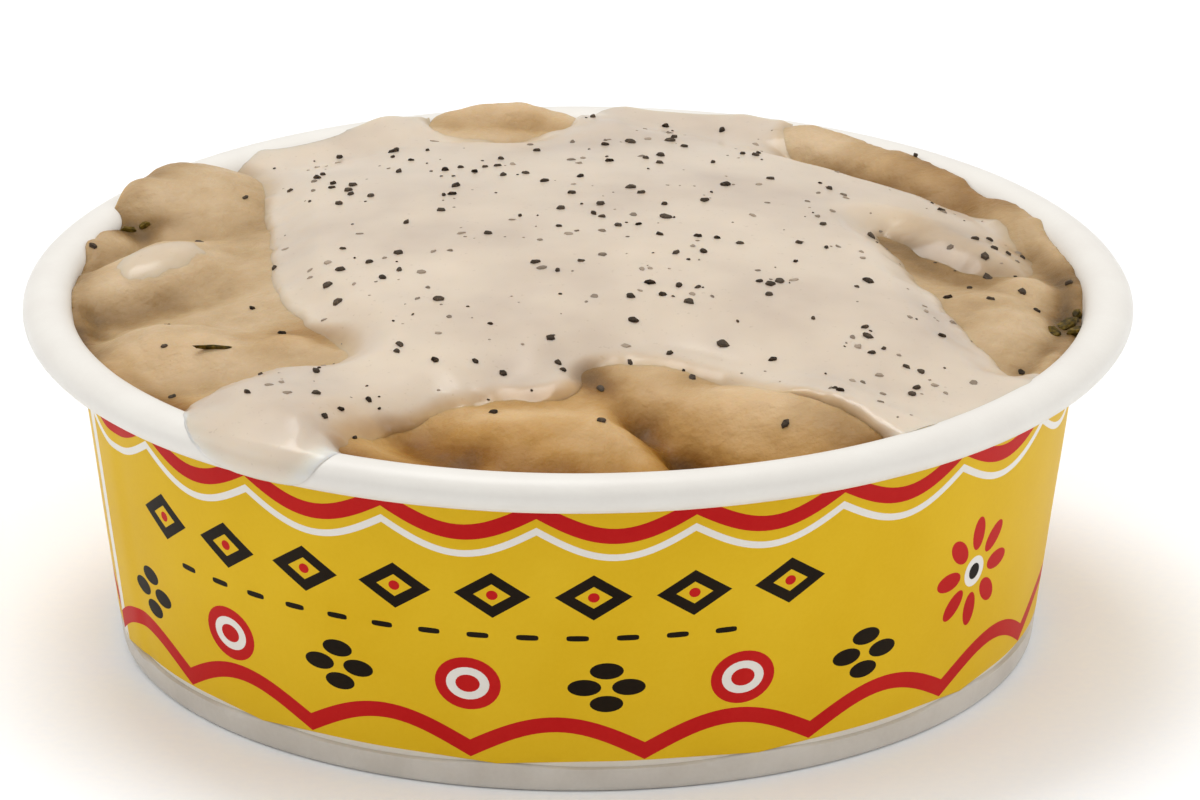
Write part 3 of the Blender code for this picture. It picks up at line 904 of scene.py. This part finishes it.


# Potato colour from the two tones at each point: pale crowns, tan, and the dark brown of recesses, which is
# painted shade over the potato's own moist golden tone.
def potatoColour(tree, clouds):
    deep = addNode(tree, "ShaderNodeAttribute", {"attribute_name": "deep"})
    butter = addNode(tree, "ShaderNodeAttribute", {"attribute_name": "butter"})
    mottle = addNode(
        tree, "ShaderNodeMath", {"operation": "MULTIPLY_ADD", 1: 0.6, 2: -0.3}, {0: (clouds, "Fac")}
    )
    tone = addNode(
        tree, "ShaderNodeMath", {"operation": "ADD", "use_clamp": True},
        {0: (deep, "Fac"), 1: (mottle, "Value")},
    )
    plain, buttery = (
        addNode(tree, "ShaderNodeValToRGB", {"stops": potatoColours[kind]}, {"Fac": (tone, "Value")})
        for kind in ("plain", "buttery")
    )
    return addNode(
        tree, "ShaderNodeMix", {"data_type": "RGBA"},
        {0: (butter, "Fac"), 6: (plain, "Color"), 7: (buttery, "Color")},
    )


# Whipped potato with butter and milk: light goes a few millimetres in, and the surface is moist and
# finely grained.
def mashMaterial():
    material, tree, shader, grains = newMaterial(
        "whipped potato with butter",
        {"Roughness": 0.5, "IOR": 1.4, "Specular IOR Level": 0.28, "Subsurface Weight": 0.4,
         "Subsurface Scale": 0.0013, "Subsurface Radius": (1.0, 0.62, 0.28), "Coat Weight": 0.05,
         "Coat Roughness": 0.25},
        {"riced": (0.7, 5, 0.6), "lumps": (2, 3, 0.5), "clouds": moistClouds},
    )
    height = addNode(
        tree, "ShaderNodeMath", {"operation": "MULTIPLY_ADD", 1: 0.35},
        {0: (grains["riced"], "Fac"), 2: (grains["lumps"], "Fac")},
    )
    colour = potatoColour(tree, grains["clouds"])
    finishSurface(tree, shader, (colour, 2), (height, "Value"), (0.8, 0.5))
    return material


# Flour-thickened cream gravy: smooth and wet, so its lips catch the light, milky inside, and tinted by what
# is under it where it thins out to a film; in the trough by the lobe that tint is painted shade.
def gravyMaterial():
    material, tree, shader, grains = newMaterial(
        "cream gravy",
        {"Roughness": 0.34, "IOR": 1.38, "Specular IOR Level": 0.4, "Subsurface Weight": 0.5,
         "Subsurface Scale": 0.0018, "Subsurface Radius": (1.0, 0.72, 0.45), "Coat Weight": 0.35,
         "Coat Roughness": 0.17},
        {
            "drifts": (15, 3, 0.5),  # where the sauce stirred unevenly
            "specks": (0.5, 2, 0.5),  # fine pepper and flour
            "skin": (5, 3, 0.5),  # soft unevenness of a cooling skin
            "clouds": moistClouds,
        },
    )
    cover = addNode(tree, "ShaderNodeAttribute", {"attribute_name": "cover"})
    onRim = addNode(tree, "ShaderNodeAttribute", {"attribute_name": "onRim"})
    cream = addNode(
        tree, "ShaderNodeValToRGB", {"stops": [(0.30, "#BFAD9A"), (0.50, "#CDBCA7"), (0.72, "#D6C5AF")]},
        {"Fac": (grains["drifts"], "Fac")},
    )
    speckMask = addNode(
        tree, "ShaderNodeValToRGB", {"stops": [(0.66, (0, 0, 0, 1)), (0.78, (0.4, 0.4, 0.4, 1))]},
        {"Fac": (grains["specks"], "Fac")},
    )
    speckled = addNode(
        tree, "ShaderNodeMix", {"data_type": "RGBA", 7: "#A8927A"},
        {0: (speckMask, "Color"), 6: (cream, "Color")},
    )
    under = addNode(
        tree, "ShaderNodeMix", {"data_type": "RGBA", 7: "#E6DDD1"},
        {0: (onRim, "Fac"), 6: (potatoColour(tree, grains["clouds"]), 2)},
    )
    film = addNode(
        tree, "ShaderNodeMix", {"data_type": "RGBA"}, {0: (cover, "Fac"), 6: (under, 2), 7: (speckled, 2)}
    )
    finishSurface(tree, shader, (film, 2), (grains["skin"], "Fac"), (0.25, 0.18))
    return material


gravyFinish = gravyMaterial()


# A grid over the plan of the mouth.
def mouthGrid(spacing):
    half = math.ceil(mouthRadius)
    return [p for p in hexGrid(-half, half, -half, half, spacing) if math.hypot(*p) < mouthRadius]


def buildMash():
    mouth = oval(0, 0, mouthRadius, mouthRadius, heap["edgePoints"])
    flat, triangles = triangulatePlan({"mouth": mouth}, heap["spacing"], mouthGrid(heap["spacing"]))
    x, y = flat.T
    away = np.hypot(x, y)
    drop, wide = heap["edgeRound"]  # the heap's outermost edge rounds off towards the board
    level = mashRelief(x, y) - drop * np.clip((away - mouthRadius + wide) / wide, 0, 1) ** 2
    points = list(settleAgainstTub(x, y, level))
    faces = [face for face, inside in triangles if "mouth" in inside]
    deep, butter = potatoTones(x, y)
    # down the wall to the base
    edge = [i for i in np.argsort(np.arctan2(y, x)) if away[i] > mouthRadius - 1e-4]
    rings = [edge]
    floor = tub["floorUnderside"] + tub["board"] + 0.1
    sides = ((tub["neckRadius"] - tub["board"] - 0.2, tub["neckHeight"] - 1),
             (wallMiddle(floor) - tub["board"] / 2 - 0.1, floor))
    for radius, height in sides:
        rings.append(list(range(len(points), len(points) + len(edge))))
        points += [np.array((x[i], y[i], 0)) / away[i] * radius + np.array((0, 0, height)) for i in edge]
    for upper, lower in zip(rings, rings[1:]):
        for k in range(len(edge)):
            n = (k + 1) % len(edge)
            faces.append((upper[k], lower[k], lower[n], upper[n]))
    faces.append(rings[-1])
    below = np.full(len(points) - len(deep), heap["wallTone"])
    marks = {"deep": np.concatenate([deep, below]), "butter": np.concatenate([butter, below])}
    return addPiece(
        "whippedPotato", points, faces, [mashMaterial()], 70, ["mash"], marks=marks
    )


buildMash()
print("mash made")


# A place over the rim: an angle from the front towards the left, and how far past the mouth.
def rimPoint(degrees, run):
    angle = math.radians(degrees)
    return -(mouthRadius + run) * math.sin(angle), -(mouthRadius + run) * math.cos(angle)


# Sauce never ends in a ruled line: its edge wanders by a few tenths of a millimetre.
def wandering(loop, amount, seed):
    flat = np.column_stack([loop, 0 * loop[:, 0]])
    move = noiseLayers(flat, ((amount, 4.5, seed), (0.4 * amount, 1.7, seed + 1)))
    return loop + outward(loop) * move[:, None]


puddleOval = turnedLoop(oval(0, 0, *puddle["half"], 110), math.radians(puddle["turn"]))
puddleEdge = wandering(puddleOval + puddle["centre"], 0.7, 15)
gravyEdge = wandering(smoothCurve(sauce["edge"], 0.45), 0.55, 7)
tongueEdge = wandering(smoothCurve([rimPoint(*corner) for corner in sauce["tongue"]], 0.4), 0.3, 9)


# Where the sauce ends: the edge inside the mouth, and the tongue's past it.
def freeSegments():
    starts, ends = [], []
    for loop, outside in ((gravyEdge, False), (tongueEdge, True)):
        following = np.roll(loop, -1, axis=0)
        past = np.hypot(*((loop + following) / 2).T) > mouthRadius
        starts.append(loop[past == outside])
        ends.append(following[past == outside])
    return np.concatenate(starts), np.concatenate(ends)


sauceEnds = freeSegments()


# How much of any of these round zones each place has.
def zoneShare(zones, x, y):
    return np.clip(sum(spot(x, y, *zone) for zone in zones.values()), 0, 1)


# A rounded lip that fills out to the full depth of the sauce.
def lipProfile(x, y, distance):
    lip, film = zoneShare(sauce["lips"], x, y), zoneShare(sauce["films"], x, y) * 0.9
    wide = sauce["lipWide"] * (1 + 0.3 * lip + 2.5 * film)
    high = sauce["lipHigh"] * (1 + 1.9 * lip) * (1 - 0.7 * film)
    rise = np.clip(distance / wide, 0, 1)
    rounded = high * np.sqrt(1 - (1 - rise) ** 2)
    soft = (high + sauce["slip"]) * smoothStep(rise) - sauce["slip"]
    depth = sauce["depth"] * (1 - 0.7 * zoneShare(sauce["shallows"], x, y))
    full = np.maximum(depth - high, 0) * smoothStep(distance / (sauce["fillWide"] * (1 - 0.35 * lip)))
    return rounded * lip + soft * (1 - lip) + full


# Sauce lies smoother than the mash under it.
def settledForm(x, y):
    return (mashForm(x, y) + 8 * ringForm(x, y, sauce["levels"][1])) / 9


# The top of the sauce, at a distance in from its edge.
def sauceTop(x, y, distance):
    flat = np.stack([x, y, 0 * x], axis=1)
    inward = smoothStep(distance / sauce["levels"][0])
    under = mashRelief(x, y) * (1 - inward) + settledForm(x, y) * inward
    swell = noiseLayers(flat, sauce["swell"]) * inward
    lumps = spot(x, y, *sauce["lumpsAt"]) * noiseLayers(flat, sauce["lumps"])
    return under + lipProfile(x, y, distance) + swell + lumps


# How much of the tongue's sector a place is in: food there isn't spread against the tub.
def tongueShare(x, y):
    degrees = np.degrees(np.arctan2(-x, -y))
    start, end, fade = sauce["tongueSector"]
    return smoothStep((degrees - start) / fade) * smoothStep((end - degrees) / fade)


# Lays points past the mouth over the roll of the rim, a depth off its surface. The first stretch
# leads over from the sauce inside.
def overRim(x, y, depth, inner):
    away = np.hypot(x, y)
    outX, outY = x / away, y / away
    lean = np.clip(inner / (tub["rollHalfHeight"] + depth), -0.98, 0.98)
    first = np.pi - np.arcsin(lean)
    run = away - mouthRadius
    share = np.minimum(run / sauce["tongueRun"], 1)
    angle = first + (math.radians(sauce["tongueEnd"]) - first) * share
    radius = rollRadius + (tub["rollHalfWidth"] + depth) * np.cos(angle)
    height = (tub["rollHalfHeight"] + depth) * np.sin(angle)
    lead = smoothStep(run / sauce["tongueLead"])
    radius = (mouthRadius + 0.6 * run) * (1 - lead) + radius * lead
    height = inner * (1 - lead) + height * lead + rollLevel
    return np.stack([outX * radius, outY * radius, height], axis=1)


# A layer of sauce from its top and its underside, closed along its open edges.
def addLayer(name, replaced, faces, flat, high, low, cover, onRim):
    directed = {(a, b) for face in faces for a, b in zip(face, face[1:] + face[:1])}
    count = len(flat)
    layer = [tuple(face) for face in faces] + [tuple(i + count for i in reversed(face)) for face in faces]
    layer += [(b, a, a + count, b + count) for a, b in sorted(directed) if (b, a) not in directed]
    deep, butter = potatoTones(*flat.T)
    marks = {"deep": deep, "butter": butter, "cover": cover, "onRim": onRim}
    marks = {mark: np.concatenate([values, values]) for mark, values in marks.items()}
    points = np.concatenate([high, low])
    return addPiece(name, points, layer, [gravyFinish], 75, [replaced], marks=marks)


# The underside of sauce lies inside the mash, clear of its relief.
def sauceUnderside(x, y, top, spread):
    return settleAgainstTub(x, y, np.minimum(mashForm(x, y) - sauce["sunk"], top - 0.05), spread)


def buildGravy():
    loops = {
        "mouth": oval(0, 0, mouthRadius, mouthRadius, sauce["edgePoints"]),
        "gravy": gravyEdge,
        "tongue": tongueEdge,
    }
    extra = [rimPoint(20 + 0.45 * k, 0.4 * row) for row in range(-6, 21) if row for k in range(78)]
    for step in (0.12, 0.3, 0.6):  # rows close inside the edge keep the lip round
        for loop in (gravyEdge, tongueEdge):
            extra += (loop - step * outward(loop)).tolist()
    flat, triangles = triangulatePlan(loops, 0.22, mouthGrid(sauce["spacing"]), extra)
    faces, onTongue = [], set()
    for face, inside in triangles:
        if {"mouth", "gravy"} <= inside or ("tongue" in inside and "mouth" not in inside):
            faces.append(face)
            if "mouth" not in inside:
                onTongue |= {i for i in face if math.hypot(*flat[i]) > mouthRadius + 0.01}
    x, y = flat.T
    distance = distanceTo(flat, *sauceEnds)
    top = sauceTop(x, y, distance)
    spread = 1 - tongueShare(x, y)
    high, low = settleAgainstTub(x, y, top, spread), sauceUnderside(x, y, top, spread)
    rim = np.array(sorted(onTongue))
    rimX, rimY, rimDistance = x[rim], y[rim], distance[rim]
    away = np.hypot(rimX, rimY)
    inner = sauceTop(rimX / away * mouthRadius, rimY / away * mouthRadius, rimDistance)
    lipHigh, lipWide = sauce["tongueLip"]
    lip = lipHigh * np.sqrt(1 - (1 - np.clip(rimDistance / lipWide, 0, 1)) ** 2)
    depth = lip + (sauce["tongueDepth"] - lipHigh) * smoothStep(rimDistance / 5)
    high[rim] = overRim(rimX, rimY, depth, inner)
    low[rim] = overRim(rimX, rimY, 0 * depth - 0.06, inner - 1.2)
    least, more, wide, wider = sauce["filmCover"]
    cover = least + more * smoothStep(distance / (wide + wider * zoneShare(sauce["films"], x, y)))
    for *filmAndShade, shows in sauce["filmAndShades"].values():
        cover = cover * (1 - shows * spot(x, y, *filmAndShade))
    run = np.hypot(x, y) - mouthRadius
    least, more, wide = sauce["tongueCover"]
    thinner = least + more * smoothStep(distance / wide)
    cover = cover + (thinner - cover) * smoothStep((run - 1) / 5)
    onRim = smoothStep((run + 0.5) / 2.5)
    return addLayer("creamGravy", "gravy", faces, flat, high, low, cover, onRim)


# The top of the puddle, at a distance in from its edge.
def puddleTop(x, y, distance):
    under = smoothStep(distance / 1.6)
    rise = (puddle["depth"] + sauce["slip"]) * smoothStep(distance / puddle["fillWide"]) - sauce["slip"]
    return mashRelief(x, y) * (1 - under) + settledForm(x, y) * under + rise


def buildPuddle():
    (centreX, centreY), reach = puddle["centre"], puddle["reach"]
    grid = hexGrid(centreX - reach, centreX + reach, centreY - reach, centreY + reach, puddle["spacing"])
    flat, triangles = triangulatePlan({"puddle": puddleEdge}, puddle["spacing"], grid)
    faces = [face for face, inside in triangles if "puddle" in inside]
    x, y = flat.T
    distance = distanceTo(flat, puddleEdge, np.roll(puddleEdge, -1, axis=0))
    top = puddleTop(x, y, distance)
    high, low = settleAgainstTub(x, y, top), sauceUnderside(x, y, top, 1)
    cover = puddle["cover"] * smoothStep((distance - 0.4) / 3.2)
    return addLayer("gravyPuddle", "gravy_puddle", faces, flat, high, low, cover, 0 * x)


buildGravy()
buildPuddle()
print("gravy made")

pepper = {
    "flakes": {"count": 240, "size": (0.75, 1.6), "apart": 1.3, "fadedShare": 0.44, "clump": 2.2},
    "specks": {"count": 170, "size": (0.3, 0.65), "apart": 0.5, "fadedShare": 0.6, "clump": 1.0},
    "thickness": (0.28, 0.34),  # share of the length, and the most
    "sunk": {True: 0.75, False: 0.25},  # faded flakes lie deeper
    "fade": {True: (0.35, 0.8), False: (0, 0.15)},  # how grey the sauce over them makes them
    "square": 52,
    "reach": 51,
    "crowdSizes": (9, 4),  # of the patches where more fell
    # flakes on the bare mash
    "onMash": [
        (-42.5, -11.0), (-42.6, -19.5), (-33.8, -6.5), (-30.5, -16), (-39.8, 12.5), (-35.2, 24.5),
        (-50.0, 12.5), (2.4, -31.5), (2.5, -39.8), (11.8, -29.2), (21.2, -40.5), (-12.2, -47.5),
        (46.5, 1.0), (43.0, -5.0), (47.8, -4.5), (38.6, -4.2), (45.8, -19.0), (41.0, 3.2), (35.0, 38.5),
        (49.5, 21.0), (-8.5, -37.6), (-44.0, -27.8), (-41.5, -27.6), (51.2, 5.0),
    ],
    "onMashSize": (0.8, 1.4),
}
skinAndPitShade = {
    # centre, length, width and turn, in the deep places by the rim, where their dark colour also stands in
    # for painted shade in the pits
    "bits": [
        (51.3, -3.8, 3.2, 1.7, 80), (50.7, -6.8, 3.8, 2.4, 40), (49.4, -9.2, 2.9, 1.4, 100),
        (51.4, -9.0, 2.6, 1.7, 20), (51.9, -1.6, 1.9, 1.0, 85),
        (-47.2, 19.4, 2.4, 0.9, 25), (-45.6, 20.2, 1.5, 0.8, 10), (-52.8, -3.6, 1.8, 1.0, 95),
        (-51.9, -12.4, 2.6, 1.1, 80), (-51.2, -15.2, 1.8, 0.9, 60),
    ],
    "bitThickness": 0.5,
    "bitSunk": 0.2,
    "sliver": (-37.0, -20.4, 6.6, 0.5, 13),
    "sliverThickness": 0.28,
    "sliverSunk": 0.1,
}


# The height of whatever lies uppermost at one place: sauce, puddle or mash.
def foodTop(x, y):
    x, y = np.array([float(x)]), np.array([float(y)])
    place = np.stack([x, y], axis=1)
    if insideLoop(gravyEdge, x[0], y[0]):
        return sauceTop(x, y, distanceTo(place, *sauceEnds))[0]
    if insideLoop(puddleEdge, x[0], y[0]):
        return puddleTop(x, y, distanceTo(place, puddleEdge, np.roll(puddleEdge, -1, axis=0)))[0]
    return mashRelief(x, y)[0]


# A broken chip: an uneven polygon with sloping edges, lying on the food and a little sunk in.
def chip(dice, x, y, length, width, turn, thickness, sunk):
    here = foodTop(x, y)
    slopeX, slopeY = foodTop(x + 0.5, y) - here, foodTop(x, y + 0.5) - here
    normal = Vector((-slopeX * 2, -slopeY * 2, 1)).normalized()
    normal = (normal + Vector((dice.uniform(-0.2, 0.2), dice.uniform(-0.2, 0.2), 0))).normalized()
    upright = Vector((0, 0, 1)).rotation_difference(normal).to_matrix()
    x, y = np.array([x]), np.array([y])
    centre = Vector(settleAgainstTub(x, y, np.array([here]), 1 - tongueShare(x, y))[0])
    corners = dice.randint(6, 8)
    c, s = math.cos(math.radians(turn)), math.sin(math.radians(turn))
    radii = [dice.uniform(0.72, 1.1) for _ in range(corners)]
    angles = [2 * math.pi * (k + dice.uniform(-0.25, 0.25)) / corners for k in range(corners)]
    points = []
    # its top, its widest outline and its underside
    for shrink, lift in ((0.72, thickness * (1 - sunk)), (1.0, thickness * (0.45 - sunk)), (0.8, -thickness)):
        for radius, angle in zip(radii, angles):
            u = math.cos(angle) * radius * shrink * length / 2
            v = math.sin(angle) * radius * shrink * width / 2
            bumpy = lift + thickness * dice.uniform(-0.14, 0.14)
            points.append(centre + upright @ Vector((u * c - v * s, u * s + v * c, bumpy)))
    faces = ringFaces(0, corners, corners) + ringFaces(corners, 2 * corners, corners)
    faces += [tuple(reversed(range(corners))), tuple(2 * corners + k for k in range(corners))]
    return points, faces


# One piece from all chips of a kind.
def joinChips(name, chips, fades, material):
    points, faces, marks = [], [], []
    for (chipPoints, chipFaces), fade in zip(chips, fades):
        faces += [tuple(i + len(points) for i in face) for face in chipFaces]
        points += [tuple(p) for p in chipPoints]
        marks += [fade] * len(chipPoints)
    return addPiece(name, points, faces, [material], 25, marks={"fade": marks})


# Cracked black pepper: matte, dark brown-black with paler broken faces, greyed where sauce covers it.
def pepperMaterial():
    material, tree, shader, grains = newMaterial(
        "cracked black pepper", {"Roughness": 0.7, "IOR": 1.4, "Specular IOR Level": 0.1},
        {"husk": (0.3, 3, 0.5)},  # mottle of husk and kernel
    )
    fade = addNode(tree, "ShaderNodeAttribute", {"attribute_name": "fade"})
    shade = addNode(
        tree, "ShaderNodeValToRGB", {"stops": [(0.40, "#17110B"), (0.62, "#3A2C1F"), (0.75, "#6B5740")]},
        {"Fac": (grains["husk"], "Fac")},
    )
    veiled = addNode(
        tree, "ShaderNodeMix", {"data_type": "RGBA", 7: "#B3A18D"}, {0: (fade, "Fac"), 6: (shade, "Color")}
    )
    finishSurface(tree, shader, (veiled, 2), (grains["husk"], "Fac"), (0.5, 0.1))
    return material


# Boiled potato skin: thin, moist and olive-brown; its dark colour also serves as painted shade in the pits by
# the rim.
def skinAndPitShadeMaterial():
    material, tree, shader, grains = newMaterial(
        "boiled potato skin, dark as painted pit shade", {"Roughness": 0.5, "IOR": 1.4, "Specular IOR Level": 0.12},
        {"mottle": (0.6, 4, 0.5)},
    )
    shade = addNode(
        tree, "ShaderNodeValToRGB", {"stops": [(0.38, "#332808"), (0.55, "#57450F"), (0.72, "#80672A")]},
        {"Fac": (grains["mottle"], "Fac")},
    )
    finishSurface(tree, shader, (shade, "Color"), (grains["mottle"], "Fac"), (0.5, 0.2))
    return material


def buildPepper():
    dice = random.Random(11)
    chips, fades, taken = [], [], []
    half, (broad, fine) = pepper["square"], pepper["crowdSizes"]

    def addFlake(x, y, length, faded):
        width = length * dice.uniform(0.5, 0.9)
        share, most = pepper["thickness"]
        turn = dice.uniform(0, 180)
        chips.append(chip(dice, x, y, length, width, turn, min(most, share * length), pepper["sunk"][faded]))
        fades.append(dice.uniform(*pepper["fade"][faded]))

    def shake(count, size, apart, fadedShare, clump):
        made = 0
        while made < count:
            x, y = dice.uniform(-half, half), dice.uniform(-half, half)
            crowd = noise.noise(Vector((x / broad, y / broad, 4.2)))
            crowd += 0.5 * noise.noise(Vector((x / fine, y / fine, 9.1)))
            if math.hypot(x, y) > pepper["reach"] or dice.random() > math.exp(clump * (crowd - 0.45)):
                continue
            if not insideLoop(gravyEdge, x, y) or any(math.hypot(x - a, y - b) < apart for a, b in taken):
                continue
            if dice.random() < 0.8:
                taken.append((x, y))
            addFlake(x, y, dice.triangular(*size, size[0] * 1.3), dice.random() < fadedShare)
            made += 1

    for x, y in pepper["onMash"]:
        addFlake(x, y, dice.uniform(*pepper["onMashSize"]), False)
    shake(**pepper["flakes"])
    shake(**pepper["specks"])
    return joinChips("pepperFlakes", chips, fades, pepperMaterial())


def buildSkinAndPitShade():
    dice = random.Random(5)
    chips = [chip(dice, *bit, skinAndPitShade["bitThickness"], skinAndPitShade["bitSunk"]) for bit in skinAndPitShade["bits"]]
    chips.append(chip(dice, *skinAndPitShade["sliver"], skinAndPitShade["sliverThickness"], skinAndPitShade["sliverSunk"]))
    return joinChips("potatoSkinAndPitShade", chips, [0] * len(chips), skinAndPitShadeMaterial())


buildPepper()
buildSkinAndPitShade()
print("pepper and skin made")
